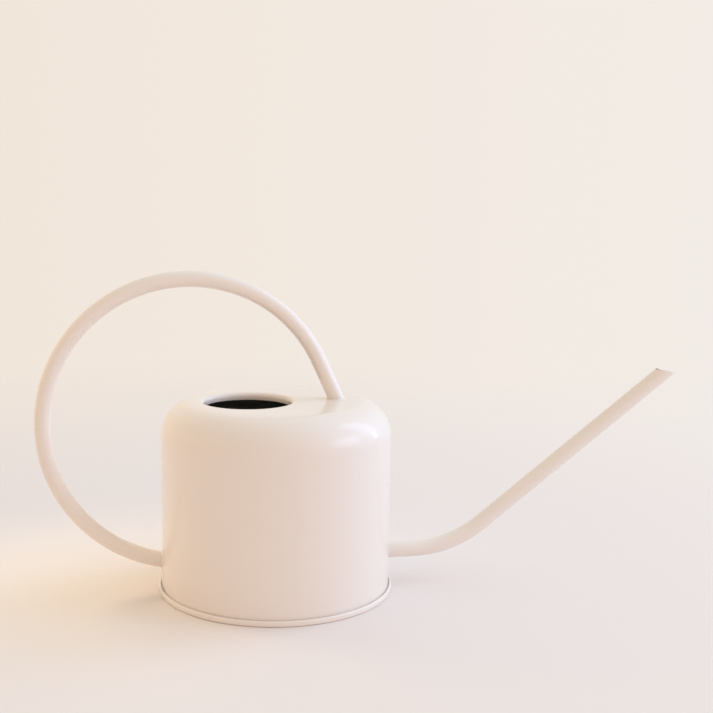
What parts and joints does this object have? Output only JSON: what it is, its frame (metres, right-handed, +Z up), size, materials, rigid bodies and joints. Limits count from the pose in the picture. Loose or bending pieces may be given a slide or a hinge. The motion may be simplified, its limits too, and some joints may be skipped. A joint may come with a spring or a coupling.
{
  "type": "watering can",
  "caption": "Round indoor watering can with a flat top, offset filler hole, ring-shaped tube handle and long slim tube spout with an obliquely cut mouth.",
  "frame": {"origin": "centre of the foot ring, on the surface that the can stands on", "axes": "+Z up along the body's axis, +X from the body towards the spout's mouth, the handle is on the -X side"},
  "size_m": [0.4039, 0.144, 0.1955],
  "materials": {
    "cream_coating": "smooth glossy powder coat, warm cream with a blush tint",
    "inner_coating": "dark rust-proof coating inside the body",
    "sealant": "cured seam compound, matt"
  },
  "bodies": {
    "root": {"body_shell": "cream_coating", "base_plate": "cream_coating", "seam_sealant": "sealant", "handle_tube": "cream_coating", "spout_tube": "cream_coating", "spout_braze": "cream_coating", "handle_front_braze": "cream_coating", "handle_rear_braze": "cream_coating"}
  },
  "joints": []
}
